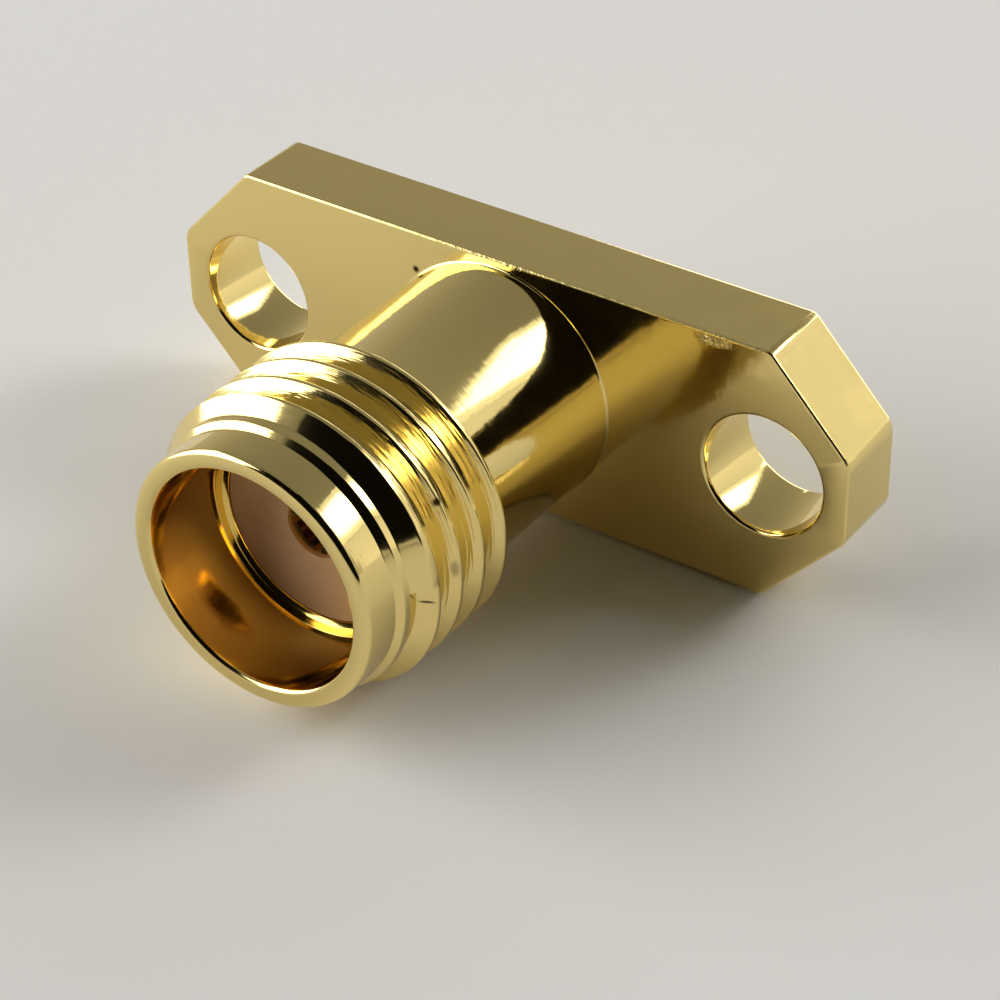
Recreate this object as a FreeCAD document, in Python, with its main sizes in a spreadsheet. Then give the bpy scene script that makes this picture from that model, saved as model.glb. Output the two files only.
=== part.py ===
import FreeCAD, Part
import os

import Sketcher

# SMA panel jack with a two-hole flange, in millimetres.
# Frame: the origin is the centre of the flange's mounting face, +X runs along the flange
# through its two holes, +Y points into the panel and -Y out of the jack's mouth, +Z is up.

# Every size stands once, as name, value and meaning
SIZES = (
    ("hole_spacing", 12.2, "centre to centre of the fixing holes"),
    ("hole_to_tip", 1.85, "centre of a fixing hole to its end of the flange"),
    ("flange_width", 5.6, "flange, long side to long side along Z"),
    ("flange_thickness", 1.75, "flange, mounting face to front face"),
    ("corner_cut_along", 1.77, "corner cut, measured along the long side"),
    ("corner_cut_across", 1.9, "corner cut, measured across the flange"),
    ("outline_radius", 0.45, "rounding of the eight corners of the outline"),
    ("flange_edge_bevel", 0.07, "broken edge round both faces of the flange"),
    ("hole_diameter", 2.6, "fixing hole"),
    ("hole_edge_bevel", 0.08, "broken edge of the fixing holes"),
    ("overall_length", 9.75, "mounting face to the mouth of the jack"),
    ("neck_diameter", 5.2, "plain neck between flange and thread"),
    ("thread_major_diameter", 6.3, "crest of the 1/4-36 coupling thread"),
    ("threaded_length", 2.78, "thread with its leading cone and its tail"),
    ("thread_lead_length", 0.3, "cone that starts the thread"),
    ("thread_tail_bevel", 0.12, "broken edge behind the last crest"),
    ("nose_diameter", 5.45, "plain nose in front of the thread"),
    ("nose_length", 0.88, "mouth to the step behind the nose"),
    ("collar_diameter", 5.7, "plain collar between that step and the leading cone"),
    ("collar_length", 0.24, "collar, along the barrel"),
    ("nose_edge_bevel", 0.12, "broken outer edge of the mouth"),
    ("mouth_diameter", 4.65, "wide bore that takes the plug's outer contact"),
    ("mouth_depth", 1.92, "mouth to the ledge, which is the reference plane"),
    ("mouth_edge_bevel", 0.1, "broken inner edge of the mouth"),
    ("ledge_edge_bevel", 0.09, "broken edge between the ledge and the long bore"),
    ("bore_diameter", 4.1, "long bore that holds the insulator"),
    ("rear_bore_diameter", 3.4, "bore through the lip that stops the insulator"),
    ("rear_lip_length", 0.8, "thickness of that lip"),
    ("insulator_gap", 0.01, "radial clearance of the insulator in its bores"),
    ("insulator_recess", 0.09, "ledge to the insulator's front face"),
    ("insulator_rear_recess", 0.05, "mounting face to the insulator's rear face"),
    ("insulator_edge_bevel", 0.04, "broken front edge of the insulator"),
    ("contact_diameter", 1.27, "centre contact, from its face to its shoulder"),
    ("contact_gap", 0.01, "clearance of the contact in the insulator"),
    ("contact_recess", 0.14, "ledge to the contact's front face"),
    ("contact_edge_bevel", 0.05, "broken outer edge of the contact's face"),
    ("groove_setback", 2.4, "mounting face to the contact's retaining groove"),
    ("groove_length", 1.0, "retaining groove, along the contact"),
    ("groove_depth", 0.1, "retaining groove, below the contact's wall"),
    ("socket_bore_diameter", 0.95, "bore that takes the plug's pin"),
    ("socket_bore_depth", 3.0, "contact's face to the end of its full bore"),
    ("socket_mouth_bevel", 0.05, "lead-in of that bore"),
    ("drill_point_length", 0.27, "cone that the drill leaves at the bore's end"),
    ("slot_width", 0.15, "slit between two spring fingers"),
    ("slot_length", 1.9, "length of the slits"),
    ("slot_count", 4, "number of slits"),
    ("post_diameter", 0.94, "solder post behind the flange"),
    ("post_length", 2.3, "post beyond the mounting face"),
    ("post_end_bevel", 0.12, "broken edge at the post's tip"),
)

# Places along Y that more than one piece uses, as formulas of the sizes above
MOUTH_Y = "(-sizes.overall_length)"
LEDGE_Y = "(-sizes.overall_length + sizes.mouth_depth)"
FLANGE_FRONT_Y = "(-sizes.flange_thickness)"
LIP_Y = "(-sizes.rear_lip_length)"
CONTACT_FACE_Y = f"({LEDGE_Y} + sizes.contact_recess)"
GROOVE_REAR_Y = "(-sizes.groove_setback)"
GROOVE_FRONT_Y = f"({GROOVE_REAR_Y} - sizes.groove_length)"
GROOVE_FLOOR = "(sizes.contact_diameter / 2 - sizes.groove_depth)"

# A sketch counts its own axes down from -1, the first of them also carrying its origin,
# and counts the start, the end and the centre of a piece of geometry up from 1
HORIZONTAL_AXIS, VERTICAL_AXIS = range(-1, -3, -1)
START, END, CENTRE = range(1, 4)
ORIGIN = (HORIZONTAL_AXIS, START)

# Formulas of the places that no size moves
ON_AXIS = "0"
MOUNTING_FACE = "0"

# How near an edge must lie to the plane or circle that it is looked up by
LOOKUP_TOLERANCE = 1e-4

# Features that have to take material away
CUTS = ("flange_edges", "stepped_bore", "fixing_hole", "fixing_holes", "hole_edges", "slot", "slots")

doc = FreeCAD.newDocument("sma_panel_jack")


def make_sheet():
    """Writes each size to the spreadsheet under its own name."""
    sheet = doc.addObject("Spreadsheet::Sheet", "sizes")
    sheet.Label = "sizes"
    for row, (name, value, meaning) in enumerate(SIZES, start=1):
        sheet.set(f"A{row}", name)
        sheet.set(f"B{row}", str(value))
        sheet.setAlias(f"B{row}", name)
        sheet.set(f"C{row}", meaning)
    doc.recompute()
    return sheet


def evaluate(formula):
    """Value of a formula of the sizes, in millimetres."""
    value = sheet.evalExpression(formula)
    return float(getattr(value, "Value", value))


def make_body(name):
    """Empty body whose label is also the name of its file."""
    body = doc.addObject("PartDesign::Body", name)
    body.Label = name
    body.Placement = FreeCAD.Placement()
    return body


def origin_feature(body, role):
    """Plane or axis of the body's own origin."""
    return next(f for f in body.Origin.OriginFeatures if f.Role == role)


def make_sketch(body, name, plane):
    """Sketch on one of the body's origin planes."""
    sketch = body.newObject("Sketcher::SketchObject", name)
    sketch.AttachmentSupport = [(origin_feature(body, plane), "")]
    sketch.MapMode = "FlatFace"
    return sketch


def pin_point(sketch, geometry, point, across, up):
    """Ties a point of the sketch to two formulas, measured from the sketch's origin."""
    for kind, formula, axis in (("DistanceX", across, VERTICAL_AXIS), ("DistanceY", up, HORIZONTAL_AXIS)):
        if formula == ON_AXIS:
            sketch.addConstraint(Sketcher.Constraint("PointOnObject", geometry, point, axis))
            continue
        value = evaluate(formula)
        index = sketch.addConstraint(Sketcher.Constraint(kind, *ORIGIN, geometry, point, value))
        sketch.setExpression(f"Constraints[{index}]", formula)


def draw_outline(sketch, corners):
    """Closed outline of straight runs through corners, each given as two formulas."""
    points = [FreeCAD.Vector(evaluate(across), evaluate(up), 0) for across, up in corners]
    lines = []
    for start, end in zip(points, points[1:] + points[:1]):
        lines.append(sketch.addGeometry(Part.LineSegment(start, end), False))
    for line, following in zip(lines, lines[1:] + lines[:1]):
        sketch.addConstraint(Sketcher.Constraint("Coincident", line, END, following, START))
    for line, (across, up) in zip(lines, corners):
        pin_point(sketch, line, START, across, up)


def turn(body, kind, name, corners):
    """Turned form: an outline of radius and place along Y, revolved round the Y axis."""
    sketch = make_sketch(body, f"{name}_outline", "XY_Plane")
    draw_outline(sketch, corners)
    feature = body.newObject(kind, name)
    feature.Profile = sketch
    feature.ReferenceAxis = (sketch, ["V_Axis"])
    feature.Angle = 360.0
    doc.recompute()
    return feature


def bevel(body, name, base, edges, size):
    """Chamfer on the named edges of the feature before it."""
    feature = body.newObject("PartDesign::Chamfer", name)
    feature.Base = (base, edges)
    feature.setExpression("Size", f"sizes.{size}")
    doc.recompute()
    return feature


def edges_where(shape, wanted):
    """Names of the edges for which the test holds."""
    return [f"Edge{i}" for i, edge in enumerate(shape.Edges, start=1) if wanted(edge)]


def lies_at(edge, y):
    """True where the whole edge lies in the plane at this place along Y."""
    box = edge.BoundBox
    return abs(box.YMin - y) < LOOKUP_TOLERANCE and abs(box.YMax - y) < LOOKUP_TOLERANCE


def runs_along_y(edge):
    """True for an upright edge of the flange's side wall."""
    box = edge.BoundBox
    return box.XLength < LOOKUP_TOLERANCE and box.ZLength < LOOKUP_TOLERANCE


def is_hole_rim(edge):
    """True for the rim of a fixing hole."""
    curve = edge.Curve
    if not isinstance(curve, Part.Circle):
        return False
    radius_fits = abs(curve.Radius - evaluate("sizes.hole_diameter / 2")) < LOOKUP_TOLERANCE
    centre_fits = abs(abs(curve.Center.x) - evaluate("sizes.hole_spacing / 2")) < LOOKUP_TOLERANCE
    return radius_fits and centre_fits


def add_flange(body):
    """Milled flange: a long octagon with softened corners and broken edges."""
    tip = "(sizes.hole_spacing / 2 + sizes.hole_to_tip)"
    side = "sizes.flange_width / 2"
    flat_end = f"{tip} - sizes.corner_cut_along"
    flat_side = f"{side} - sizes.corner_cut_across"
    corners = [
        (tip, f"-({flat_side})"), (tip, flat_side),
        (flat_end, side), (f"-({flat_end})", side),
        (f"-{tip}", flat_side), (f"-{tip}", f"-({flat_side})"),
        (f"-({flat_end})", f"-{side}"), (flat_end, f"-{side}"),
    ]
    sketch = make_sketch(body, "flange_outline", "XZ_Plane")
    draw_outline(sketch, corners)
    flange = body.newObject("PartDesign::Pad", "flange")
    flange.Profile = sketch
    flange.setExpression("Length", "sizes.flange_thickness")
    doc.recompute()

    softened = body.newObject("PartDesign::Fillet", "flange_corners")
    softened.Base = (flange, edges_where(flange.Shape, runs_along_y))
    softened.setExpression("Radius", "sizes.outline_radius")
    doc.recompute()

    front = evaluate(FLANGE_FRONT_Y)
    rims = edges_where(softened.Shape, lambda edge: lies_at(edge, 0) or lies_at(edge, front))
    bevel(body, "flange_edges", softened, rims, "flange_edge_bevel")


def add_barrel(body):
    """Turned barrel: neck, blank of the thread with its leading cone, collar and nose."""
    neck = "sizes.neck_diameter / 2"
    crest = "sizes.thread_major_diameter / 2"
    nose = "sizes.nose_diameter / 2"
    collar = "sizes.collar_diameter / 2"
    nose_end = f"({MOUTH_Y} + sizes.nose_length)"
    cone_start = f"({nose_end} + sizes.collar_length)"
    crest_start = f"({cone_start} + sizes.thread_lead_length)"
    thread_end = f"({cone_start} + sizes.threaded_length)"
    inside_flange = f"({FLANGE_FRONT_Y} / 2)"
    turn(body, "PartDesign::Revolution", "barrel", [
        (ON_AXIS, MOUTH_Y),
        (f"{nose} - sizes.nose_edge_bevel", MOUTH_Y),
        (nose, f"{MOUTH_Y} + sizes.nose_edge_bevel"),
        (nose, nose_end),
        (collar, nose_end),
        (collar, cone_start),
        (crest, crest_start),
        (crest, f"{thread_end} - sizes.thread_tail_bevel"),
        (f"{crest} - sizes.thread_tail_bevel", thread_end),
        (neck, thread_end),
        (neck, inside_flange),
        (ON_AXIS, inside_flange),
    ])


def add_bores(body):
    """Stepped bore from the mouth through the flange, with the ledge and the rear lip."""
    mouth = "sizes.mouth_diameter / 2"
    bore = "sizes.bore_diameter / 2"
    rear = "sizes.rear_bore_diameter / 2"
    turn(body, "PartDesign::Groove", "stepped_bore", [
        (ON_AXIS, MOUTH_Y),
        (f"{mouth} + sizes.mouth_edge_bevel", MOUTH_Y),
        (mouth, f"{MOUTH_Y} + sizes.mouth_edge_bevel"),
        (mouth, LEDGE_Y),
        (f"{bore} + sizes.ledge_edge_bevel", LEDGE_Y),
        (bore, f"{LEDGE_Y} + sizes.ledge_edge_bevel"),
        (bore, LIP_Y),
        (rear, LIP_Y),
        (rear, MOUNTING_FACE),
        (ON_AXIS, MOUNTING_FACE),
    ])


def add_fixing_holes(body):
    """One drilled hole, its mirrored twin, and the broken edges of both."""
    sketch = make_sketch(body, "hole_outline", "XZ_Plane")
    radius = evaluate("sizes.hole_diameter / 2")
    centre = FreeCAD.Vector(evaluate("sizes.hole_spacing / 2"), 0, 0)
    circle = sketch.addGeometry(Part.Circle(centre, FreeCAD.Vector(0, 0, 1), radius), False)
    pin_point(sketch, circle, CENTRE, "sizes.hole_spacing / 2", ON_AXIS)
    diameter = sketch.addConstraint(Sketcher.Constraint("Diameter", circle, 2 * radius))
    sketch.setExpression(f"Constraints[{diameter}]", "sizes.hole_diameter")

    hole = body.newObject("PartDesign::Pocket", "fixing_hole")
    hole.Profile = sketch
    hole.Type = "ThroughAll"
    hole.Reversed = True
    doc.recompute()

    pair = body.newObject("PartDesign::Mirrored", "fixing_holes")
    pair.Originals = [hole]
    pair.MirrorPlane = (origin_feature(body, "YZ_Plane"), [""])
    body.Tip = pair
    doc.recompute()
    bevel(body, "hole_edges", pair, edges_where(pair.Shape, is_hole_rim), "hole_edge_bevel")


def make_jack_body():
    """Outer contact: flange, neck, threaded barrel and nose, turned and milled in one piece."""
    body = make_body("body")
    add_flange(body)
    add_barrel(body)
    add_bores(body)
    add_fixing_holes(body)
    return body


def make_insulator():
    """Turned bush: it fills the long bore, stops at the rear lip and grips the contact's groove."""
    body = make_body("insulator")
    outside = "(sizes.bore_diameter / 2 - sizes.insulator_gap)"
    tail = "(sizes.rear_bore_diameter / 2 - sizes.insulator_gap)"
    inside = "(sizes.contact_diameter / 2 + sizes.contact_gap)"
    rib = f"({GROOVE_FLOOR} + sizes.contact_gap)"
    rib_front = f"({GROOVE_FRONT_Y} + sizes.contact_gap)"
    rib_rear = f"({GROOVE_REAR_Y} - sizes.contact_gap)"
    front = f"({LEDGE_Y} + sizes.insulator_recess)"
    rear = "(-sizes.insulator_rear_recess)"
    turn(body, "PartDesign::Revolution", "bush", [
        (inside, front),
        (f"{outside} - sizes.insulator_edge_bevel", front),
        (outside, f"{front} + sizes.insulator_edge_bevel"),
        (outside, LIP_Y),
        (tail, LIP_Y),
        (tail, rear),
        (inside, rear),
        (inside, rib_rear),
        (rib, rib_rear),
        (rib, rib_front),
        (inside, rib_front),
    ])
    return body


def add_slots(body):
    """Slits that part the socket into spring fingers, one cut and then turned round the axis."""
    sketch = make_sketch(body, "slot_outline", "XY_Plane")
    beyond = "sizes.contact_diameter"
    front = f"({CONTACT_FACE_Y} - sizes.contact_edge_bevel)"
    rear = f"({CONTACT_FACE_Y} + sizes.slot_length)"
    draw_outline(sketch, [(ON_AXIS, front), (beyond, front), (beyond, rear), (ON_AXIS, rear)])
    slot = body.newObject("PartDesign::Pocket", "slot")
    slot.Profile = sketch
    slot.SideType = "Symmetric"
    slot.setExpression("Length", "sizes.slot_width")
    doc.recompute()

    slots = body.newObject("PartDesign::PolarPattern", "slots")
    slots.Originals = [slot]
    slots.Axis = (origin_feature(body, "Y_Axis"), [""])
    slots.Angle = 360.0
    slots.setExpression("Occurrences", "sizes.slot_count")
    body.Tip = slots
    doc.recompute()


def make_centre_contact():
    """Centre contact: slotted spring socket, retaining groove, shoulder and solder post."""
    body = make_body("centre_contact")
    wall = "(sizes.contact_diameter / 2)"
    post = "(sizes.post_diameter / 2)"
    bore = "(sizes.socket_bore_diameter / 2)"
    bore_end = f"({CONTACT_FACE_Y} + sizes.socket_bore_depth)"
    turn(body, "PartDesign::Revolution", "turned_contact", [
        (f"{bore} + sizes.socket_mouth_bevel", CONTACT_FACE_Y),
        (f"{wall} - sizes.contact_edge_bevel", CONTACT_FACE_Y),
        (wall, f"{CONTACT_FACE_Y} + sizes.contact_edge_bevel"),
        (wall, GROOVE_FRONT_Y),
        (GROOVE_FLOOR, GROOVE_FRONT_Y),
        (GROOVE_FLOOR, GROOVE_REAR_Y),
        (wall, GROOVE_REAR_Y),
        (wall, MOUNTING_FACE),
        (post, MOUNTING_FACE),
        (post, "sizes.post_length - sizes.post_end_bevel"),
        (f"{post} - sizes.post_end_bevel", "sizes.post_length"),
        (ON_AXIS, "sizes.post_length"),
        (ON_AXIS, f"{bore_end} + sizes.drill_point_length"),
        (bore, bore_end),
        (bore, f"{CONTACT_FACE_Y} + sizes.socket_mouth_bevel"),
    ])
    add_slots(body)
    return body


def check_document(bodies):
    """Stops where a feature failed, a cut cut nothing, or a solid is not whole."""
    failed = [o.Name for o in doc.Objects if {"Invalid", "Error"} & set(o.State)]
    if failed:
        raise RuntimeError("features that failed: " + ", ".join(failed))
    for cut in CUTS:
        feature = doc.getObject(cut)
        if feature.Shape.Volume >= feature.BaseFeature.Shape.Volume:
            raise RuntimeError(f"{cut} cuts nothing")
    for body in bodies:
        shape = body.Shape
        if shape.isNull() or not shape.isValid() or len(shape.Solids) != 1:
            raise RuntimeError(f"{body.Label} is not one valid solid")


sheet = make_sheet()
pieces = [make_jack_body(), make_insulator(), make_centre_contact()]
doc.recompute()
check_document(pieces)

os.makedirs("parts", exist_ok=True)
for piece in pieces:
    piece.Shape.exportStep(f"parts/{piece.Label}.step")
    print(f"{piece.Label}: {piece.Shape.Volume:.3f} mm3")
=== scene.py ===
import math
from collections import Counter

import bpy
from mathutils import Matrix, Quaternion, Vector


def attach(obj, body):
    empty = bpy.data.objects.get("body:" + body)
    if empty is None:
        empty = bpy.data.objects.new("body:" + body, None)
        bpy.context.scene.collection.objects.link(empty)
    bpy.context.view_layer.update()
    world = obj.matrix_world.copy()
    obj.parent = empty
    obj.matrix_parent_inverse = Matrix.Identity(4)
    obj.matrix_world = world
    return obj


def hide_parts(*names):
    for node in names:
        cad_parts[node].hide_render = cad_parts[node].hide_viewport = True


bl_info = {
    "name": "Coaxial panel jack",
    "version": (1, 0, 0),
    "blender": (4, 5, 0),
    "location": "View3D > Sidebar > Jack",
    "description": "Gold plated coaxial jack with a two-hole flange, dressed round its packed solids",
    "category": "Object",
}

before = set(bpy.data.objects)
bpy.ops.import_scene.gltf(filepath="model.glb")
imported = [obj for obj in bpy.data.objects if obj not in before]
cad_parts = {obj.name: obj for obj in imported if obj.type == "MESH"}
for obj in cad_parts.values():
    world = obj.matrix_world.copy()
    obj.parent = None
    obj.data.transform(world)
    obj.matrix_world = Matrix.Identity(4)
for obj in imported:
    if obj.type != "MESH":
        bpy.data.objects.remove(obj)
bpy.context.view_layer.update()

MM = 0.001

# Distances below which two places count as one: in a test, when merging, and in a plane cut
TINY = 2e-6
WELD = 5e-7
CUT_THRESHOLD = 1e-7


# Sizes and colours that a user would change

def length(name, description, default):
    """Property for a length, given in millimetres and kept in metres."""
    return bpy.props.FloatProperty(
        name=name, description=description, default=default * MM, precision=6, unit="LENGTH",
        subtype="DISTANCE")


def angle(name, description, default):
    """Property for an angle, given in degrees and kept in radians."""
    return bpy.props.FloatProperty(
        name=name, description=description, default=math.radians(default), unit="ROTATION",
        subtype="ANGLE")


def linear(hex_colour):
    """Linear colour from an sRGB hex value."""
    parts = [int(hex_colour[i:i + 2], 16) / 255 for i in (0, 2, 4)]
    return [p / 12.92 if p <= 0.04045 else ((p + 0.055) / 1.055) ** 2.4 for p in parts] + [1]


def colour(name, description, default):
    """Property for a colour, given as sRGB hex."""
    return bpy.props.FloatVectorProperty(
        name=name, description=description, default=linear(default), size=4, min=0, max=1,
        subtype="COLOR")


class FlangeSizes(bpy.types.PropertyGroup):
    """Sizes of the flange and its fixing holes."""

    tip: length("Tip", "Jack's axis to either end of the flange", 7.95)
    side: length("Side", "Jack's axis to either long side", 2.8)
    thickness: length("Thickness", "Mounting face to front face", 1.75)
    cut_along: length("Corner cut along", "Corner cut, measured along the long side", 1.77)
    cut_across: length("Corner cut across", "Corner cut, measured across the flange", 1.9)
    corner_radius: length("Corner radius", "Rounding of the outline's corners at either end", 0.45)
    side_radius: length("Side corner radius", "Rounding of the corners on the long sides", 0.2)
    rim_round: length("Rim rounding", "Broken edge round both faces", 0.07)
    hole_place: length("Hole place", "Jack's axis to the centre of a fixing hole", 6.1)
    hole_radius: length("Hole radius", "Fixing hole", 1.3)
    hole_round: length("Hole rounding", "Broken edge of the fixing holes", 0.08)


class BarrelSizes(bpy.types.PropertyGroup):
    """Sizes of the barrel's outside."""

    mouth: length("Mouth", "Mounting face to the mouth", 9.75)
    nose_radius: length("Nose radius", "Plain nose in front of the thread", 2.725)
    nose_end: length("Nose end", "Mounting face to the step behind the nose", 8.87)
    collar_radius: length("Collar radius", "Plain collar behind that step", 2.85)
    cone_start: length("Cone start", "Mounting face to the foot of the leading cone", 8.63)
    crest_radius: length("Crest radius", "Crest of the coupling thread", 3.15)
    crest_start: length("Crest start", "Mounting face to the first full crest", 8.33)
    thread_end: length("Thread end", "Mounting face to the shoulder behind the thread", 5.85)
    neck_radius: length("Neck radius", "Plain neck between thread and flange", 2.6)
    foot_fillet: length("Foot fillet", "Fillet between neck and flange", 0.06)


class ThreadSizes(bpy.types.PropertyGroup):
    """Sizes of the coupling thread's groove."""

    pitch: length("Pitch", "Crest to crest, 36 turns to the inch", 0.7056)
    root_radius: length("Root radius", "Jack's axis to the thread's root", 2.77)
    crest_flat: length("Crest flat", "Width of a crest, its corners taken sharp", 0.09)
    crest_round: length("Crest rounding", "Rounding of a crest's corners", 0.03)
    slant: angle("Slant", "Slant of a flank off the plane of its turn", 26)
    crest_place: length("Crest place", "Mounting face to a crest, straight out along +X", 8.154)
    start_turn: angle("Start", "Where the groove starts, from +X towards +Z", 4.21875)
    turns: bpy.props.FloatProperty(name="Turns", description="Turns of the groove", default=4.5)


class BoreSizes(bpy.types.PropertyGroup):
    """Sizes of the barrel's inside."""

    mouth_radius: length("Mouth radius", "Wide bore that takes the plug", 2.325)
    ledge: length("Ledge", "Mounting face to the ledge", 7.83)
    bore_radius: length("Bore radius", "Long bore that holds the insulator", 2.05)
    ledge_bevel: length("Ledge bevel", "Broken edge inside the ledge", 0.09)
    lip: length("Lip", "Thickness of the rear lip", 0.8)
    rear_radius: length("Rear radius", "Bore through the rear lip", 1.7)


class ContactSizes(bpy.types.PropertyGroup):
    """Sizes of the centre contact and of the insulator's front."""

    face: length("Contact face", "Mounting face to the contact's front face", 7.69)
    radius: length("Contact radius", "Outside of the socket", 0.635)
    socket_radius: length("Socket radius", "Bore that takes the plug's pin", 0.475)
    socket_depth: length("Socket depth", "Full bore, from the face", 3.0)
    slot_width: length("Slot width", "Slit between two spring fingers", 0.15)
    slot_length: length("Slot length", "Length of the slits", 1.9)
    post_radius: length("Post radius", "Solder post", 0.47)
    post_length: length("Post length", "Post beyond the mounting face", 2.3)
    insulator_face: length("Insulator face", "Mounting face to the insulator's front", 7.74)


class FinishColours(bpy.types.PropertyGroup):
    """Colours of the finishes and of the stage."""

    gold: colour("Gold", "Plating on the body", "EFD88E")
    # The bores' gold is the plating painted redder and deeper, as painted shade for the dim light bounced
    # round inside them
    bore_gold_painted_shade: colour("Bore gold", "Plating inside the bores, a little redder", "E9C66C")
    contact_gold: colour("Contact gold", "Plating on the centre contact", "F0C878")
    # The insulator's tan is a painted reflection: white PTFE coloured as if lit by the gold's bounced light
    # round it
    resin_painted_reflection: colour("Insulator", "Turned PTFE, as it looks in the jack", "C9A27C")
    floor: colour("Floor", "Table top under the jack", "F5F3EF")
    felt: colour("Felt", "Black flag behind the camera", "100F0E")


GROUPS = {
    "jack_flange": FlangeSizes, "jack_barrel": BarrelSizes, "jack_thread": ThreadSizes,
    "jack_bore": BoreSizes, "jack_contact": ContactSizes, "jack_colours": FinishColours,
}

# Fineness of what is turned, in steps for a whole turn
BARREL_STEPS = 256
INSULATOR_STEPS = 192
SMALL_STEPS = 96

# Facets of a rounding: in a profile's corner, an arc, the flange's corners and its rims
CORNER_FACETS = 4
ARC_FACETS = 4
OUTLINE_FACETS = 8
RIM_FACETS = 3

# How far a cutter reaches past what it cuts, and the thread's tool past the crest
BEYOND = 0.5 * MM
THREAD_TOOL_BEYOND = 0.3 * MM

# Rounding behind the last crest, in front of which the jack rests on the floor
TAIL_ROUND = 0.12 * MM

# Clearance round the insulator and the contact, which keeps their faces apart
CLEARANCE = 0.01 * MM

# Faces that meet at less than this angle, in degrees, are shaded as one curved surface
SMOOTH_BELOW = 28


# Modelling by operators

def begin(name):
    """Names the new primitive and moves its place, turn and scale into its mesh."""
    piece = bpy.context.object
    piece.name = name
    piece.data.name = name
    bpy.ops.object.transform_apply(location=True, rotation=True, scale=True)
    return piece


def edit():
    """Opens the active mesh with its vertices selectable and none selected."""
    bpy.context.tool_settings.mesh_select_mode = (True, False, False)
    bpy.ops.object.mode_set(mode="EDIT")
    bpy.ops.mesh.select_all(action="DESELECT")


def leave():
    """Closes the open mesh, which then holds what was done to it."""
    bpy.ops.object.mode_set(mode="OBJECT")


def pick(piece, kind, wanted):
    """Opens the mesh with only those vertices, edges or faces selected for which the test holds."""
    modes = {"VERT": (True, False, False), "EDGE": (False, True, False), "FACE": (False, False, True)}
    leave()
    mesh = piece.data
    for parts in (mesh.vertices, mesh.edges, mesh.polygons):
        parts.foreach_set("select", [False] * len(parts))
    parts = {"VERT": mesh.vertices, "EDGE": mesh.edges, "FACE": mesh.polygons}[kind]
    found = [part for part in parts if wanted(part)]
    if not found:
        raise RuntimeError(f"{piece.name}: nothing to select")
    for part in found:
        part.select = True
    bpy.context.tool_settings.mesh_select_mode = modes[kind]
    bpy.ops.object.mode_set(mode="EDIT")


def ends(piece, edge):
    """Both end points of an edge."""
    return [piece.data.vertices[i].co for i in edge.vertices]


def select_only(*pieces):
    """Selects these pieces alone and makes the first one active."""
    bpy.ops.object.select_all(action="DESELECT")
    for piece in pieces:
        piece.select_set(True)
    bpy.context.view_layer.objects.active = pieces[0]


def quarter_arc():
    """Angles along a rounded edge, from none to a right angle."""
    return [math.radians(90 * i / ARC_FACETS) for i in range(ARC_FACETS + 1)]


def single_point(name, radius, y):
    """Mesh of one vertex, left open and selected, from which a profile is extruded."""
    bpy.ops.object.select_all(action="DESELECT")
    bpy.ops.mesh.primitive_plane_add(size=MM, location=(radius, y, 0))
    piece = begin(name)
    edit()
    bpy.ops.mesh.select_all(action="SELECT")
    bpy.ops.mesh.merge(type="CENTER")
    return piece


def draw_line(points):
    """Extrudes the selected vertex from each point of radius and place along Y to the next."""
    for (r0, y0), (r1, y1) in zip(points, points[1:]):
        bpy.ops.mesh.extrude_region_move(TRANSFORM_OT_translate={"value": (r1 - r0, y1 - y0, 0)})


def draw_profile(name, corners):
    """Wire profile through corners of radius and place along Y, each rounded by its own amount."""
    radius, y, _ = corners[0]
    piece = single_point(name, radius, y)
    draw_line([corner[:2] for corner in corners])
    for radius, y, rounding in corners:
        if rounding:
            here = Vector((radius, y, 0))
            pick(piece, "VERT", lambda v: (v.co - here).length < TINY)
            bpy.ops.mesh.bevel(offset=rounding, offset_type="OFFSET", segments=CORNER_FACETS,
                               affect="VERTICES", clamp_overlap=False)
    return piece


def turned(name, corners, steps=BARREL_STEPS):
    """Solid of revolution: the profile turned round the Y axis into a closed shell."""
    piece = draw_profile(name, corners)
    bpy.ops.mesh.select_all(action="SELECT")
    bpy.ops.mesh.spin(steps=steps, angle=2 * math.pi, center=(0, 0, 0), axis=(0, 1, 0),
                      use_auto_merge=False)
    bpy.ops.mesh.select_all(action="SELECT")
    bpy.ops.mesh.remove_doubles(threshold=WELD)
    bpy.ops.mesh.normals_make_consistent(inside=False)
    leave()
    return piece


def combine(piece, tool, operation):
    """Joins the tool to the piece or cuts it out, and takes the tool away."""
    select_only(piece)
    modifier = piece.modifiers.new("combine", "BOOLEAN")
    modifier.object = tool
    modifier.operation = operation
    modifier.solver = "EXACT"
    bpy.ops.object.modifier_apply(modifier=modifier.name)
    bpy.data.objects.remove(tool, do_unlink=True)


def finish_surface(piece):
    """Cleans the mesh and shades it smooth, with flat faces kept flat beside their rounded edges."""
    select_only(piece)
    edit()
    bpy.ops.mesh.select_all(action="SELECT")
    bpy.ops.mesh.remove_doubles(threshold=WELD)
    leave()
    # A vertex halfway along an edge would leave a triangle of no area once the mesh is cut into triangles
    uses = Counter(index for edge in piece.data.edges for index in edge.vertices)
    if 2 in uses.values():
        pick(piece, "VERT", lambda v: uses[v.index] == 2)
        bpy.ops.mesh.dissolve_verts()
        leave()
    bpy.ops.object.shade_smooth_by_angle(angle=math.radians(SMOOTH_BELOW))
    modifier = piece.modifiers.new("clean_normals", "WEIGHTED_NORMAL")
    modifier.mode = "FACE_AREA"
    modifier.keep_sharp = True
    bpy.ops.object.modifier_apply(modifier=modifier.name)


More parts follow.
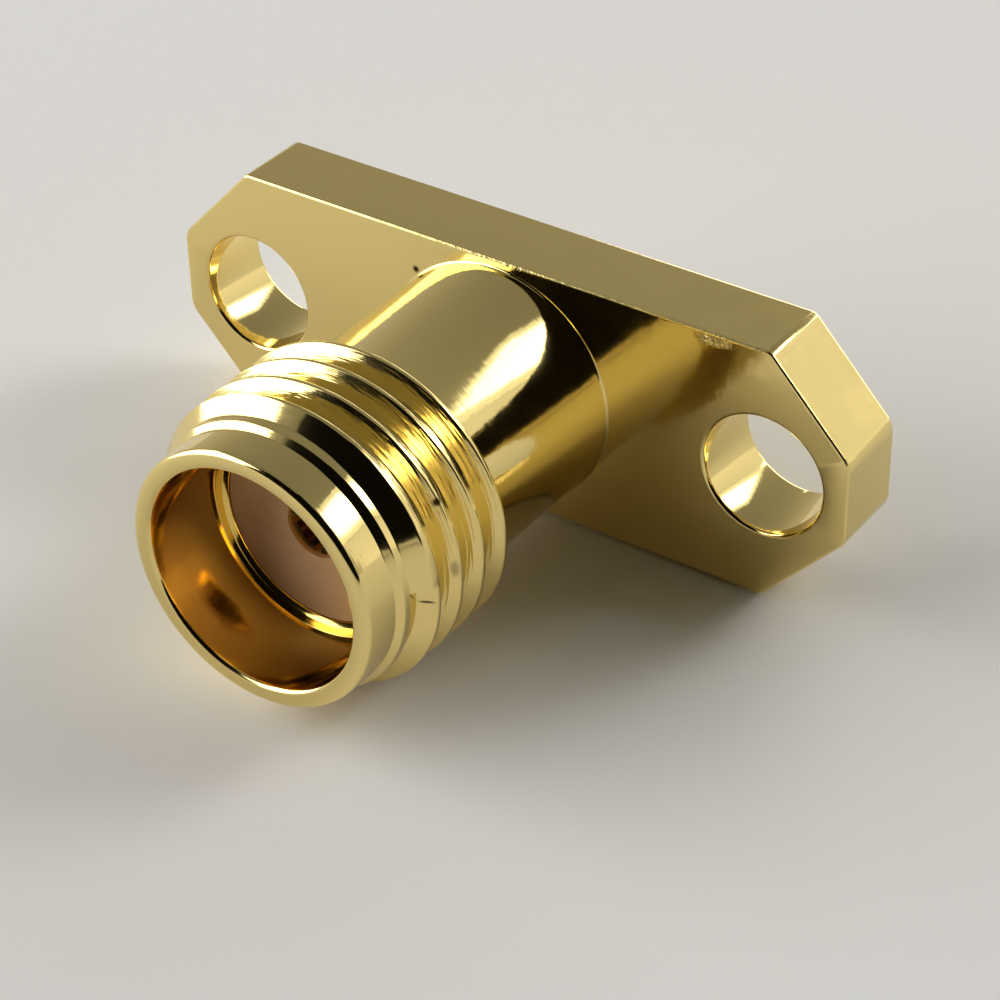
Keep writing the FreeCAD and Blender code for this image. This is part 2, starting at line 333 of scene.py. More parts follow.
def make_flange(sizes):
    """Milled plate: a block with its four corners cut, its outline and its rims rounded."""
    bpy.ops.object.select_all(action="DESELECT")
    bpy.ops.mesh.primitive_cube_add(
        size=1, location=(0, -sizes.thickness / 2, 0),
        scale=(2 * sizes.tip, sizes.thickness, 2 * sizes.side))
    plate = begin("flange_plate")
    edit()
    for along in (-1, 1):
        for across in (-1, 1):
            bpy.ops.mesh.select_all(action="SELECT")
            bpy.ops.mesh.bisect(
                plane_co=(along * sizes.tip, 0, across * (sizes.side - sizes.cut_across)),
                plane_no=(along * sizes.cut_across, 0, across * sizes.cut_along),
                use_fill=True, clear_outer=True, threshold=CUT_THRESHOLD)

    def upright(edge, axis, reach):
        """Whether an edge runs along Y at this distance from the jack's axis."""
        a, b = ends(plate, edge)
        along_y = abs(a.x - b.x) < TINY and abs(a.z - b.z) < TINY
        return along_y and abs(abs(getattr(a, axis)) - reach) < TINY

    turn = math.atan2(sizes.cut_along, sizes.cut_across)
    for axis, reach, bend, radius in (
            ("x", sizes.tip, turn, sizes.corner_radius),
            ("z", sizes.side, math.pi / 2 - turn, sizes.side_radius)):
        pick(plate, "EDGE", lambda edge: upright(edge, axis, reach))
        bpy.ops.mesh.bevel(offset=radius * math.tan(bend / 2), offset_type="OFFSET",
                           segments=OUTLINE_FACETS, affect="EDGES", clamp_overlap=False)
    rims = (0, -sizes.thickness)
    pick(plate, "EDGE", lambda edge: any(
        all(abs(p.y - rim) < TINY for p in ends(plate, edge)) for rim in rims))
    bpy.ops.mesh.bevel(offset=sizes.rim_round, offset_type="OFFSET", segments=RIM_FACETS,
                       affect="EDGES", clamp_overlap=False)
    leave()
    return plate


def make_hole_cutter(sizes, x):
    """Drill with a flare at both faces, which leaves the rounded edge of a fixing hole."""
    radius = sizes.hole_radius
    flare = sizes.hole_round
    front = -sizes.thickness
    corners = [(0, front - BEYOND, 0), (radius + flare, front - BEYOND, 0)]
    corners += [(radius + flare * (1 - math.sin(a)), front + flare * (1 - math.cos(a)), 0)
                for a in quarter_arc()]
    corners += [(radius + flare * (1 - math.cos(a)), -flare * (1 - math.sin(a)), 0)
                for a in quarter_arc()]
    corners += [(radius + flare, BEYOND, 0), (0, BEYOND, 0)]
    cutter = turned("hole_cutter", corners, SMALL_STEPS)
    cutter.location.x = x
    select_only(cutter)
    bpy.ops.object.transform_apply(location=True)
    return cutter


def make_barrel_blank(sizes, flange):
    """Outside of the barrel as it leaves the lathe, before the thread is cut."""
    nose_round = 0.12 * MM
    slope = 0.06 * MM
    slope_foot_round = 0.012 * MM
    collar_round = 0.02 * MM
    crest_round = 0.03 * MM
    fillet = sizes.foot_fillet
    front = -flange.thickness
    corners = [
        (0, -sizes.mouth, 0),
        (sizes.nose_radius, -sizes.mouth, nose_round),
        (sizes.nose_radius, -sizes.nose_end - slope, slope_foot_round),
        (sizes.collar_radius, -sizes.nose_end + slope, collar_round),
        (sizes.collar_radius, -sizes.cone_start, collar_round),
        (sizes.crest_radius, -sizes.crest_start, crest_round),
        (sizes.crest_radius, -sizes.thread_end, TAIL_ROUND),
        (sizes.neck_radius, -sizes.thread_end, crest_round),
    ]
    corners += [(sizes.neck_radius + fillet * (1 - math.sin(a)), front - fillet * (1 - math.cos(a)), 0)
                for a in reversed(quarter_arc())]
    corners += [(sizes.neck_radius + fillet, front / 2, 0), (0, front / 2, 0)]
    return turned("barrel_blank", corners)


def make_bore_cutter(barrel, bore):
    """Inside of the jack: mouth, ledge, long bore and rear lip."""
    flare = 0.1 * MM
    ledge_round = 0.03 * MM
    bevel_round = 0.015 * MM
    corners = [(0, -barrel.mouth - BEYOND, 0), (bore.mouth_radius + flare, -barrel.mouth - BEYOND, 0)]
    corners += [(bore.mouth_radius + flare * (1 - math.sin(a)),
                 -barrel.mouth + flare * (1 - math.cos(a)), 0) for a in quarter_arc()]
    corners += [
        (bore.mouth_radius, -bore.ledge, ledge_round),
        (bore.bore_radius + bore.ledge_bevel, -bore.ledge, bevel_round),
        (bore.bore_radius, -bore.ledge + bore.ledge_bevel, bevel_round),
        (bore.bore_radius, -bore.lip, 0),
        (bore.rear_radius, -bore.lip, 0),
        (bore.rear_radius, BEYOND, 0),
        (0, BEYOND, 0),
    ]
    return turned("bore_cutter", corners)


def make_thread_cutter(sizes, barrel):
    """Single point tool swept along the right-hand helix, closed at both ends."""
    crest = barrel.crest_radius
    half = (sizes.pitch - sizes.crest_flat) / 2
    rounding = sizes.crest_round
    # The rounding ends just below the crest's surface, and the tool then slants out through it
    last_tilt = math.radians(12)
    step_out = 0.005 * MM
    step_aside = 0.01 * MM
    valley = -sizes.crest_place - sizes.pitch / 2 - sizes.pitch * sizes.start_turn / (2 * math.pi)

    def flank(side):
        """From the root out past the crest, whose corner the tool rounds."""
        first_tilt = math.pi / 2 - sizes.slant
        away = half + rounding * math.tan(first_tilt / 2)
        points = [(sizes.root_radius, half - (crest - sizes.root_radius) * math.tan(sizes.slant))]
        for step in range(ARC_FACETS + 1):
            share = step / ARC_FACETS
            tilt = first_tilt * (1 - share) + last_tilt * share
            points.append((crest - rounding + rounding * math.cos(tilt), away - rounding * math.sin(tilt)))
        points.append((crest + step_out, away + step_aside))
        points.append((crest + THREAD_TOOL_BEYOND, away + step_aside))
        return [(radius, valley + side * across) for radius, across in points]

    corners = list(reversed(flank(-1))) + flank(1)
    tool = single_point("thread_cutter", *corners[0])
    draw_line(corners)
    tips = [Vector((radius, y, 0)) for radius, y in (corners[0], corners[-1])]
    pick(tool, "VERT", lambda v: any((v.co - tip).length < TINY for tip in tips))
    bpy.ops.mesh.edge_face_add()
    bpy.ops.mesh.select_all(action="SELECT")
    bpy.ops.transform.rotate(value=sizes.start_turn, orient_axis="Y", center_override=(0, 0, 0))
    leave()
    screw = tool.modifiers.new("helix", "SCREW")
    screw.axis = "Y"
    screw.steps = screw.render_steps = round(BARREL_STEPS * sizes.turns)
    screw.angle = 2 * math.pi * sizes.turns
    screw.screw_offset = sizes.pitch * sizes.turns
    screw.iterations = 1
    screw.use_smooth_shade = False
    select_only(tool)
    bpy.ops.object.modifier_apply(modifier=screw.name)
    # The groove starts at +X and ends at -X, where its edges belong to one face each
    uses = Counter(key for face in tool.data.polygons for key in face.edge_keys)
    for end in (-1, 1):
        pick(tool, "EDGE", lambda edge: uses[edge.key] == 1 and end * ends(tool, edge)[0].x > 0)
        bpy.ops.mesh.edge_face_add()
    bpy.ops.mesh.select_all(action="SELECT")
    bpy.ops.mesh.normals_make_consistent(inside=False)
    leave()
    return tool


# Materials

# Sockets of a Mix node that mixes colours, by number, because its hidden sockets have the same names
MIX_FACTOR = 0
MIX_FIRST = 6
MIX_SECOND = 7
MIX_RESULT = 2

# Nearly all of a noise pattern lies between these values, about its middle
NOISE_LOW = 0.3
NOISE_MIDDLE = 0.5
NOISE_HIGH = 0.7

# Blotches of the plating and mottle of the insulator, a little more than one to the millimetre
CLOUDS = 1.1 / MM
MOTTLE = 1.5 / MM

# Darkest mottle, as a share of the insulator's colour
MOTTLE_SHADE = 0.86

# How quickly the lathe's rings change across the jack, as a share of how quickly they change along it
RING_DRIFT = 0.12

# Relief of the finishes: where it is read, its stretch, its spacing and its depth. The real feed of a few
# hundredths of a millimetre is drawn a little coarser, so that it shows
ORANGE_PEEL = ("place", (1, 1, 1), 0.55 * MM, 0.0045 * MM)
LATHE_RINGS = ("rings", (1, 1, 1), 0.06 * MM, 0.0007 * MM)
LATHE_WAVES = ("rings", (1, 1, 1), 0.3 * MM, 0.0012 * MM)
THREAD_STREAKS = ("rings", (1, 1, 1), 0.09 * MM, 0.011 * MM)
MILL_LINES = ("place", (1, 0.08, 1), 0.14 * MM, 0.0038 * MM)
MILL_GRAIN = ("place", (1, 1, 1), 0.07 * MM, 0.0022 * MM)
PTFE_TURNING_SPACING = 0.08 * MM
PTFE_TURNING_DEPTH = 0.0015 * MM
CRUMB_SPACING = 0.07 * MM
CRUMB_DEPTH = 0.05 * MM

# Marks on the plating: centre, reach, stretch and strength
TARNISH = "3A2410"
PIT = ((-1.915 * MM, -1.75 * MM, 1.966 * MM), 0.105 * MM, (1, 1, 1), 1.0)
SPECK = ((2.711 * MM, -7.566 * MM, 1.546 * MM), 0.12 * MM, (1, 1, 1), 1.0)
BLOTCH = ((3.057 * MM, -7.542 * MM, 0.178 * MM), 0.2 * MM, (1.6, 1.6, 0.8), 0.45)
NICK = ((2.953 * MM, -8.288 * MM, -0.143 * MM), 0.22 * MM, (1, 1, 5), 0.9)
SCUFF = ((4.95 * MM, -1.75 * MM, 2.68 * MM), 0.26 * MM, (0.5, 1, 1.3), 1.0)

# A mark has its full strength out to this share of its reach
MARK_CORE = 0.3


def add_node(material, kind, settings=None, inputs=None, links=None):
    """Node with its settings, its fixed inputs and its links from other nodes' outputs."""
    node = material.node_tree.nodes.new(kind)
    for name, value in (settings or {}).items():
        setattr(node, name, value)
    for name, value in (inputs or {}).items():
        node.inputs[name].default_value = value
    for name, (source, output) in (links or {}).items():
        material.node_tree.links.new(source.outputs[output], node.inputs[name])
    return node


def new_material(name):
    """Empty node material with its output."""
    material = bpy.data.materials.new(name)
    material.use_nodes = True
    material.node_tree.nodes.clear()
    return material, add_node(material, "ShaderNodeOutputMaterial")


def distances(material):
    """Place on the piece, and its distances from the jack's axis and along it."""
    place = add_node(material, "ShaderNodeTexCoord")
    across = add_node(material, "ShaderNodeVectorMath", {"operation": "MULTIPLY"}, {1: (1, 0, 1)},
                      {0: (place, "Object")})
    radius = add_node(material, "ShaderNodeVectorMath", {"operation": "LENGTH"}, {}, {0: (across, "Vector")})
    split = add_node(material, "ShaderNodeSeparateXYZ", links={"Vector": (place, "Object")})
    drift = add_node(material, "ShaderNodeMath", {"operation": "MULTIPLY"}, {1: RING_DRIFT},
                     {0: (split, "X")})
    rings = add_node(material, "ShaderNodeCombineXYZ", links={
        "X": (radius, "Value"), "Y": (split, "Y"), "Z": (drift, "Value")})
    return place, rings


def near(material, place, centre, reach, stretch, strength):
    """The strength at a place on the piece, falling to nothing at the reach; a stretch narrows the spot."""
    offset = add_node(material, "ShaderNodeVectorMath", {"operation": "SUBTRACT"}, {1: centre},
                      {0: (place, "Object")})
    scaled = add_node(material, "ShaderNodeVectorMath", {"operation": "MULTIPLY"}, {1: stretch},
                      {0: (offset, "Vector")})
    away = add_node(material, "ShaderNodeVectorMath", {"operation": "LENGTH"}, {}, {0: (scaled, "Vector")})
    return add_node(material, "ShaderNodeMapRange", {"interpolation_type": "SMOOTHSTEP"}, {
        "From Min": MARK_CORE * reach, "From Max": reach, "To Min": strength, "To Max": 0.0},
        {"Value": (away, "Value")})


def plating(name, gold, roughness, heights, stains=(), scuffs=()):
    """Bright gold over worked brass: roughness varies a little, each height pattern adds its relief, each
    stain darkens a spot and each scuff roughens one."""
    material, out = new_material(name)
    place, rings = distances(material)
    cloud = add_node(material, "ShaderNodeTexNoise", inputs={"Scale": CLOUDS, "Detail": 3.0},
                     links={"Vector": (place, "Object")})
    spread = add_node(material, "ShaderNodeMapRange", inputs={
        "From Min": NOISE_LOW, "From Max": NOISE_HIGH, "To Min": roughness[0], "To Max": roughness[1]},
        links={"Value": (cloud, "Fac")})
    shader = add_node(material, "ShaderNodeBsdfPrincipled", inputs={"Base Color": gold, "Metallic": 1.0},
                      links={"Roughness": (spread, "Result")})
    reliefs = []
    for space, stretch, spacing, depth in heights:
        source = (rings, "Vector") if space == "rings" else (place, "Object")
        scaled = add_node(material, "ShaderNodeMapping", inputs={"Scale": stretch}, links={"Vector": source})
        pattern = add_node(material, "ShaderNodeTexNoise", inputs={"Scale": 1 / spacing, "Detail": 2.0},
                           links={"Vector": (scaled, "Vector")})
        reliefs.append((depth, pattern, "Fac"))
    for spot in scuffs:
        crumbs = add_node(material, "ShaderNodeTexNoise", inputs={"Scale": 1 / CRUMB_SPACING, "Detail": 2.0},
                          links={"Vector": (place, "Object")})
        level = add_node(material, "ShaderNodeMath", {"operation": "SUBTRACT"}, {1: NOISE_MIDDLE},
                         {0: (crumbs, "Fac")})
        height = add_node(material, "ShaderNodeMath", {"operation": "MULTIPLY"}, {},
                          {0: (level, "Value"), 1: (near(material, place, *spot), "Result")})
        reliefs.append((CRUMB_DEPTH, height, "Value"))
    below = None
    for depth, height, output in reliefs:
        relief = add_node(material, "ShaderNodeBump", inputs={"Strength": 1.0, "Distance": depth},
                          links={"Height": (height, output)})
        if below:
            material.node_tree.links.new(below.outputs["Normal"], relief.inputs["Normal"])
        below = relief
    material.node_tree.links.new(below.outputs["Normal"], shader.inputs["Normal"])
    under = None
    for spot in stains:
        stain = add_node(material, "ShaderNodeMix", {"data_type": "RGBA"},
                         {MIX_FIRST: gold, MIX_SECOND: linear(TARNISH)},
                         {MIX_FACTOR: (near(material, place, *spot), "Result")})
        if under:
            material.node_tree.links.new(under.outputs[MIX_RESULT], stain.inputs[MIX_FIRST])
        under = stain
    if under:
        material.node_tree.links.new(under.outputs[MIX_RESULT], shader.inputs["Base Color"])
    material.node_tree.links.new(shader.outputs["BSDF"], out.inputs["Surface"])
    return material


def gold_plated_turned_brass(gold):
    """Brass off the lathe, plated: bright, its reflections drawn into fine rings."""
    return plating("gold_plated_turned_brass", gold, (0.05, 0.11),
                   (ORANGE_PEEL, LATHE_WAVES, LATHE_RINGS), stains=(NICK,))


def gold_plated_cut_thread(gold):
    """Thread cut on the lathe, plated: flanks streaked along the turn by the tool's chatter."""
    return plating("gold_plated_cut_thread", gold, (0.08, 0.16),
                   (ORANGE_PEEL, THREAD_STREAKS, LATHE_RINGS), stains=(SPECK, BLOTCH, NICK))


def gold_plated_spring_brass(gold):
    """Small turned contact with a heavier plating: warmer and softer than the body."""
    return plating("gold_plated_spring_brass", gold, (0.14, 0.2), (LATHE_WAVES, LATHE_RINGS))


def gold_plated_drilled_brass(gold):
    """Drilled fixing holes, plated: nearly a mirror, so a bright band runs through each."""
    return plating("gold_plated_drilled_brass", gold, (0.05, 0.1), (LATHE_WAVES, LATHE_RINGS))


def gold_plated_bored_brass(gold):
    """Drilled and bored brass, plated: softer than the outside, with rings from the tool. It takes the
    bores' redder gold, which is painted shade.
    """
    return plating("gold_plated_bored_brass", gold, (0.09, 0.14), (ORANGE_PEEL, LATHE_WAVES))


def gold_plated_milled_brass(gold):
    """Milled edges of the flange, plated: lines across the edge that scatter a highlight."""
    return plating("gold_plated_milled_brass", gold, (0.1, 0.17), (ORANGE_PEEL, MILL_LINES, MILL_GRAIN))


def gold_plated_faced_brass(gold):
    """Faced and plated flange: nearly smooth, slightly wavy, with a dark pit and a scuff by its edge."""
    return plating("gold_plated_faced_brass", gold, (0.07, 0.13), (ORANGE_PEEL, LATHE_RINGS),
                   stains=(PIT,), scuffs=(SCUFF,))


def turned_ptfe(resin_painted_reflection):
    """PTFE, turned: waxy and satin, its tan a painted reflection of the gold around it."""
    material, out = new_material("turned_ptfe")
    place, rings = distances(material)
    mottle = add_node(material, "ShaderNodeTexNoise", inputs={"Scale": MOTTLE, "Detail": 3.0},
                      links={"Vector": (place, "Object")})
    shade = [MOTTLE_SHADE * part for part in resin_painted_reflection[:3]] + [1]
    tint = add_node(material, "ShaderNodeMix", {"data_type": "RGBA"},
                    {MIX_FIRST: shade, MIX_SECOND: resin_painted_reflection}, {MIX_FACTOR: (mottle, "Fac")})
    turning = add_node(material, "ShaderNodeTexNoise",
                       inputs={"Scale": 1 / PTFE_TURNING_SPACING, "Detail": 2.0},
                       links={"Vector": (rings, "Vector")})
    relief = add_node(material, "ShaderNodeBump", inputs={"Strength": 1.0, "Distance": PTFE_TURNING_DEPTH},
                      links={"Height": (turning, "Fac")})
    shader = add_node(material, "ShaderNodeBsdfPrincipled", inputs={"Roughness": 0.4, "IOR": 1.35},
                      links={"Normal": (relief, "Normal"), "Base Color": (tint, MIX_RESULT)})
    material.node_tree.links.new(shader.outputs["BSDF"], out.inputs["Surface"])
    return material


# Pieces

# Least part of a face's normal along the jack's axis for the face to count as square to it
SQUARE = 0.99


def finish_body(body, scene):
    """Gives each worked surface of the body its own plating."""
    flange, barrel, bore = scene.jack_flange, scene.jack_barrel, scene.jack_bore
    gold = tuple(scene.jack_colours.gold)
    bore_gold_painted_shade = tuple(scene.jack_colours.bore_gold_painted_shade)
    front = -flange.thickness
    foot = barrel.neck_radius + barrel.foot_fillet + TINY
    clear_of_flange = MM / 2
    clear_of_neck = 0.05 * MM

    def off_axis(face):
        """Distance of a face's middle from the jack's axis."""
        return math.hypot(face.center.x, face.center.z)

    def on_face(face):
        """Front or mounting face of the flange."""
        return abs(face.normal.y) > SQUARE and face.center.y > front - TINY

    def on_barrel(face):
        """All that stands in front of the flange."""
        beside_flange = off_axis(face) < foot and face.center.y < front - TINY
        return beside_flange or face.center.y < front - clear_of_flange

    def on_thread(face):
        """Thread behind its leading cone."""
        behind_cone = -barrel.crest_start < face.center.y < -barrel.thread_end
        return behind_cone and off_axis(face) > barrel.neck_radius + clear_of_neck

    def in_hole(face):
        """Wall and broken edges of a fixing hole."""
        off_hole = math.hypot(abs(face.center.x) - flange.hole_place, face.center.z)
        return off_hole < flange.hole_radius + flange.hole_round and abs(face.normal.y) < SQUARE

    def in_bore(face):
        """Inside of the jack, by all corners, because a ring's middle lies on the axis."""
        corners = (body.data.vertices[i].co for i in face.vertices)
        return max(math.hypot(corner.x, corner.z) for corner in corners) < bore.mouth_radius + TINY

    body.data.materials.clear()
    body.data.materials.append(gold_plated_milled_brass(gold))
    for wanted, material in (
            (on_face, gold_plated_faced_brass(gold)), (on_barrel, gold_plated_turned_brass(gold)),
            (on_thread, gold_plated_cut_thread(gold)), (in_hole, gold_plated_drilled_brass(gold)),
            # The bores take a redder gold, painted shade for the light bounced round inside them
            (in_bore, gold_plated_bored_brass(bore_gold_painted_shade))):
        body.data.materials.append(material)
        pick(body, "FACE", wanted)
        body.active_material_index = len(body.data.materials) - 1
        bpy.ops.object.material_slot_assign()
        leave()


class JACK_OT_body(bpy.types.Operator):
    """Outer contact: milled flange, turned barrel, cut thread and stepped bore in one piece"""

    bl_idname = "jack.body"
    bl_label = "Jack body"

    def execute(self, context):
        scene = context.scene
        flange, barrel, bore = scene.jack_flange, scene.jack_barrel, scene.jack_bore
        body = make_flange(flange)
        combine(body, make_barrel_blank(barrel, flange), "UNION")
        combine(body, make_bore_cutter(barrel, bore), "DIFFERENCE")
        for x in (-flange.hole_place, flange.hole_place):
            combine(body, make_hole_cutter(flange, x), "DIFFERENCE")
        combine(body, make_thread_cutter(scene.jack_thread, barrel), "DIFFERENCE")
        finish_surface(body)
        body.name = "jack_body"
        finish_body(body, scene)
        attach(body, "root")
        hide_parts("body")
        return {"FINISHED"}


class JACK_OT_insulator(bpy.types.Operator):
    """Turned bush that holds the contact in the long bore"""

    bl_idname = "jack.insulator"
    bl_label = "Insulator"

    def execute(self, context):
        scene = context.scene
        bore, contact = scene.jack_bore, scene.jack_contact
        rear_recess = 0.05 * MM
        rear_round = 0.05 * MM
        rim_round = 0.04 * MM
        hole_round = 0.02 * MM
        shoulder_round = 0.01 * MM
        front = -contact.insulator_face
        rear = -rear_recess
        outside = bore.bore_radius - CLEARANCE
        tail = bore.rear_radius - CLEARANCE
        inside = contact.radius + CLEARANCE
        corners = [
            (inside, front, hole_round), (outside, front, rim_round), (outside, -bore.lip, shoulder_round),
            (tail, -bore.lip, 0), (tail, rear, rear_round), (inside, rear, hole_round), (inside, front, 0),
        ]
        bush = turned("insulator_bush", corners, INSULATOR_STEPS)
        finish_surface(bush)
        # The insulator's colour carries a painted reflection of the gold round it
        bush.data.materials.append(turned_ptfe(tuple(scene.jack_colours.resin_painted_reflection)))
        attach(bush, "root")
        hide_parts("insulator")
        return {"FINISHED"}


class JACK_OT_contact(bpy.types.Operator):
    """Slotted spring socket with the solder post behind it"""

    bl_idname = "jack.contact"
    bl_label = "Centre contact"

    def execute(self, context):
        scene = context.scene
        sizes = scene.jack_contact
        mouth_round = 0.05 * MM
        shoulder_round = 0.04 * MM
        post_round = 0.12 * MM
        drill_point = 0.27 * MM
        saw_length = 4 * MM
        face = -sizes.face
        corners = [
            (sizes.socket_radius, face, mouth_round), (sizes.radius, face, mouth_round),
            (sizes.radius, 0, shoulder_round), (sizes.post_radius, 0, 0),
            (sizes.post_radius, sizes.post_length, post_round), (0, sizes.post_length, 0),
            (0, face + sizes.socket_depth + drill_point, 0),
            (sizes.socket_radius, face + sizes.socket_depth, 0),
            (sizes.socket_radius, face, 0),
        ]
        contact = turned("centre_contact_socket", corners, SMALL_STEPS)
        for turn in (0, math.pi / 2):
            bpy.ops.object.select_all(action="DESELECT")
            bpy.ops.mesh.primitive_cube_add(
                size=1, location=(0, face + sizes.slot_length - saw_length / 2, 0),
                rotation=(0, turn, 0), scale=(4 * sizes.radius, saw_length, sizes.slot_width))
            combine(contact, begin("slot_cutter"), "DIFFERENCE")
        finish_surface(contact)
        contact.data.materials.append(gold_plated_spring_brass(tuple(scene.jack_colours.contact_gold)))
        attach(contact, "root")
        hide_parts("centre_contact")
        return {"FINISHED"}


# Stage

# Directions are given as azimuth, from -Y towards +X, and elevation, both in degrees. Widths, heights and
# distances are in metres
SOFTBOXES = (
    # name, azimuth, elevation, width, height, radiance
    ("softbox_key", 135, 37, 0.25, 0.18, 0.8),
    ("softbox_key_inner", 136, 37.5, 0.2, 0.13, 2.3),
    ("softbox_key_core", 135, 37.5, 0.12, 0.08, 6.0),
    ("white_card", 138, 10, 0.29, 0.2, 0.5),
    ("softbox_fill", -60, 20, 0.46, 0.36, 3.4),
    ("backlight", 180, 13, 0.40, 0.17, 3.0),
)
LAMP_DISTANCE = 0.4

# Black flag: part of a dome round the jack, between two azimuths and up to an elevation
FLAG_DISTANCE = 0.5
FLAG_AZIMUTHS = (-31, 107)
FLAG_TOP = 74
FLAG_RISES = 12
FLAG_TURNS = 24

FLOOR_WIDTH = 3
FLOOR_ROUGHNESS = 0.8

# Room: its colours at the horizon, halfway up and overhead
ROOM_HORIZON = "C2BCB4"
ROOM_MIDDLE = "989690"
ROOM_TOP = "7A7A76"

# Camera at the photograph's place: its roll in degrees, its lens and the frame's width in millimetres
CAMERA_PLACE = Vector((29.146, -43.067, 33.030)) * MM
CAMERA_FORWARD = Vector((-0.46971, 0.66598, -0.57951))
CAMERA_ROLL = -1.2423
CAMERA_LENS = 108.891
CAMERA_FRAME = 36
CAMERA_NEAREST = 0.001
CAMERA_FARTHEST = 10


def direction(azimuth_deg, elevation_deg):
    """Unit vector towards a place in the studio."""
    azimuth, elevation = math.radians(azimuth_deg), math.radians(elevation_deg)
    return Vector((math.sin(azimuth) * math.cos(elevation), -math.cos(azimuth) * math.cos(elevation),
                   math.sin(elevation)))


def add_floor(scene):
    """Table top, tilted to the flange's edge and the thread, on which the jack rests."""
    barrel, flange = scene.jack_barrel, scene.jack_flange
    bpy.ops.object.select_all(action="DESELECT")
    bpy.ops.mesh.primitive_plane_add(size=FLOOR_WIDTH)
    floor = begin("floor")
    drop = barrel.crest_radius - flange.side
    floor.rotation_euler.x = math.atan(drop / (barrel.thread_end + TAIL_ROUND))
    floor.location.z = -flange.side
    select_only(floor)
    bpy.ops.object.transform_apply(location=True, rotation=True)
    material, out = new_material("matt_table_top")
    shader = add_node(material, "ShaderNodeBsdfPrincipled", inputs={
        "Base Color": tuple(scene.jack_colours.floor), "Roughness": FLOOR_ROUGHNESS})
    material.node_tree.links.new(shader.outputs["BSDF"], out.inputs["Surface"])
    floor.data.materials.append(material)


def add_flag(scene):
    """Black curved flag behind the camera, which gives the gold its dark reflections."""
    start, end = FLAG_AZIMUTHS
    foot = direction(start, 0) * FLAG_DISTANCE
    bpy.ops.object.select_all(action="DESELECT")
    bpy.ops.mesh.primitive_plane_add(size=MM, location=foot)
    flag = begin("black_flag")
    edit()
    bpy.ops.mesh.select_all(action="SELECT")
    bpy.ops.mesh.merge(type="CENTER")
    rises = [FLAG_TOP * i / FLAG_RISES for i in range(FLAG_RISES + 1)]
    for low, high in zip(rises, rises[1:]):
        step = (direction(start, high) - direction(start, low)) * FLAG_DISTANCE
        bpy.ops.mesh.extrude_region_move(TRANSFORM_OT_translate={"value": step})
    bpy.ops.mesh.select_all(action="SELECT")
    bpy.ops.mesh.spin(steps=FLAG_TURNS, angle=math.radians(end - start), center=(0, 0, 0),
                      axis=(0, 0, -1), use_auto_merge=False)
    leave()
    material, out = new_material("black_felt")
    shader = add_node(material, "ShaderNodeBsdfDiffuse", inputs={"Color": tuple(scene.jack_colours.felt)})
    material.node_tree.links.new(shader.outputs["BSDF"], out.inputs["Surface"])
    flag.data.materials.append(material)
    flag.visible_camera = False


def add_lamps(scene):
    """Key, card and backlight behind the jack, and the fill in front on its left."""
    for name, azimuth, elevation, width, height, radiance in SOFTBOXES:
        lamp = bpy.data.lights.new(name, "AREA")
        lamp.shape = "RECTANGLE"
        lamp.size = width
        lamp.size_y = height
        lamp.energy = radiance * math.pi * width * height
        holder = bpy.data.objects.new(name, lamp)
        scene.collection.objects.link(holder)
        towards = direction(azimuth, elevation)
        holder.location = towards * LAMP_DISTANCE
        holder.rotation_euler = (-towards).to_track_quat("-Z", "Y").to_euler()


def add_room(scene):
    """Grey room: paler at the horizon than overhead."""
    world = bpy.data.worlds.new("studio_room")
    scene.world = world
    world.use_nodes = True
    world.node_tree.nodes.clear()
    out = add_node(world, "ShaderNodeOutputWorld")
    place = add_node(world, "ShaderNodeTexCoord")
    split = add_node(world, "ShaderNodeSeparateXYZ", links={"Vector": (place, "Generated")})
    ramp = add_node(world, "ShaderNodeValToRGB", links={"Fac": (split, "Z")})
    stops = ramp.color_ramp.elements
    stops[0].position = 0.0
    stops[0].color = linear(ROOM_HORIZON)
    stops[1].position = 1.0
    stops[1].color = linear(ROOM_TOP)
    middle = stops.new(0.5)
    middle.color = linear(ROOM_MIDDLE)
    back = add_node(world, "ShaderNodeBackground", links={"Color": (ramp, "Color")})
    world.node_tree.links.new(back.outputs["Background"], out.inputs["Surface"])


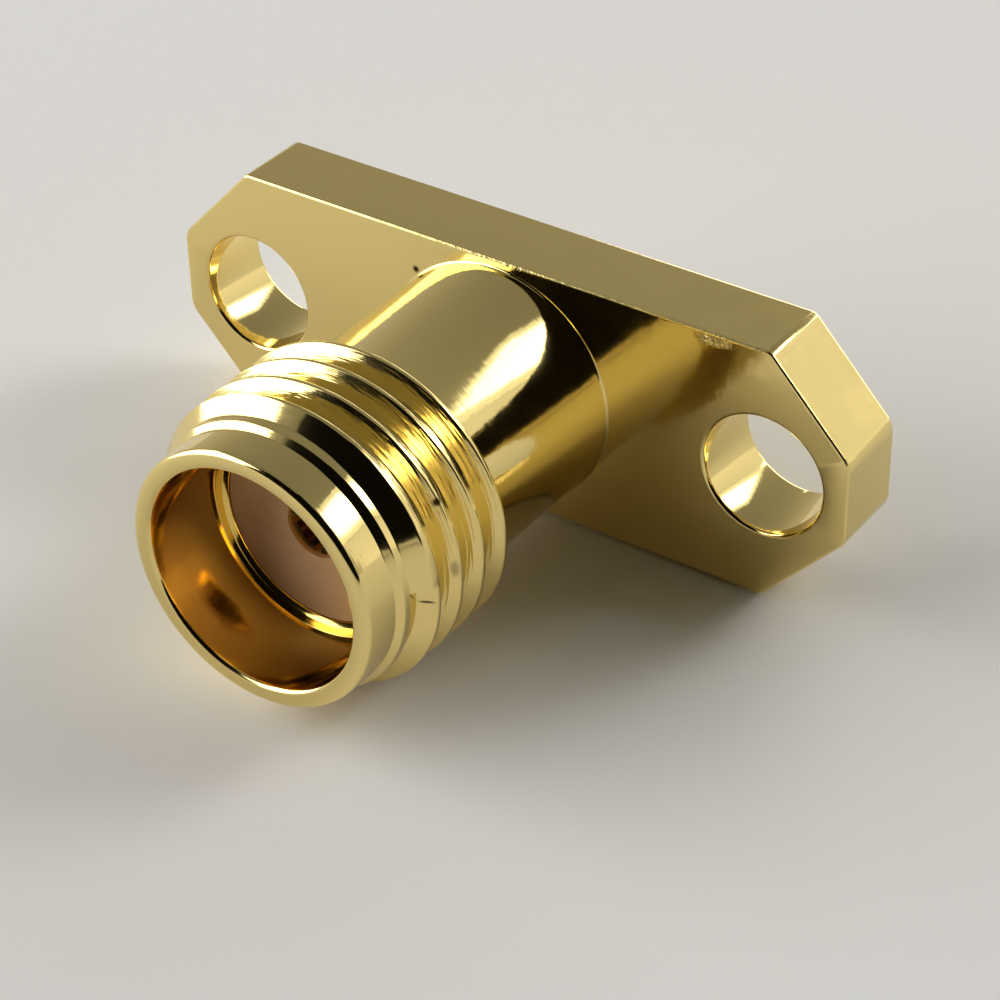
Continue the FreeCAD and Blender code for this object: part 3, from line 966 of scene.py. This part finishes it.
def add_camera(scene):
    """Camera at the photograph's place."""
    camera = bpy.data.objects.new("camera", bpy.data.cameras.new("camera"))
    scene.collection.objects.link(camera)
    look = CAMERA_FORWARD.to_track_quat("-Z", "Y")
    camera.rotation_mode = "QUATERNION"
    camera.rotation_quaternion = look @ Quaternion((0, 0, 1), math.radians(CAMERA_ROLL))
    camera.location = CAMERA_PLACE
    camera.data.sensor_width = CAMERA_FRAME
    camera.data.lens = CAMERA_LENS
    camera.data.clip_start = CAMERA_NEAREST
    camera.data.clip_end = CAMERA_FARTHEST
    scene.camera = camera


class JACK_OT_stage(bpy.types.Operator):
    """Pale floor, black flag, soft studio lamps, grey room and the camera"""

    bl_idname = "jack.stage"
    bl_label = "Stage"

    def execute(self, context):
        scene = context.scene
        add_floor(scene)
        add_flag(scene)
        add_lamps(scene)
        add_room(scene)
        add_camera(scene)
        scene.view_settings.view_transform = "Standard"
        return {"FINISHED"}


OPERATORS = (JACK_OT_body, JACK_OT_insulator, JACK_OT_contact, JACK_OT_stage)


class JACK_PT_panel(bpy.types.Panel):
    """Buttons that make the jack's pieces, and their sizes and colours"""

    bl_idname = "JACK_PT_panel"
    bl_label = "Coaxial panel jack"
    bl_space_type = "VIEW_3D"
    bl_region_type = "UI"
    bl_category = "Jack"

    def draw(self, context):
        for operator in OPERATORS:
            self.layout.operator(operator.bl_idname)
        for group in GROUPS:
            box = self.layout.box()
            settings = getattr(context.scene, group)
            for name in settings.bl_rna.properties.keys():
                if name not in ("rna_type", "name"):
                    box.prop(settings, name)


def register():
    """Registers the groups, operators and panel, and hangs each group on the scene."""
    for cls in (*GROUPS.values(), *OPERATORS, JACK_PT_panel):
        bpy.utils.register_class(cls)
    for name, group in GROUPS.items():
        setattr(bpy.types.Scene, name, bpy.props.PointerProperty(type=group))


def unregister():
    """Takes away what register made, in the opposite order."""
    for name in GROUPS:
        delattr(bpy.types.Scene, name)
    for cls in reversed((*GROUPS.values(), *OPERATORS, JACK_PT_panel)):
        bpy.utils.unregister_class(cls)


def main():
    """Registers the classes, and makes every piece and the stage."""
    register()
    bpy.ops.jack.body()
    bpy.ops.jack.insulator()
    bpy.ops.jack.contact()
    bpy.ops.jack.stage()


if __name__ == "__main__":
    main()
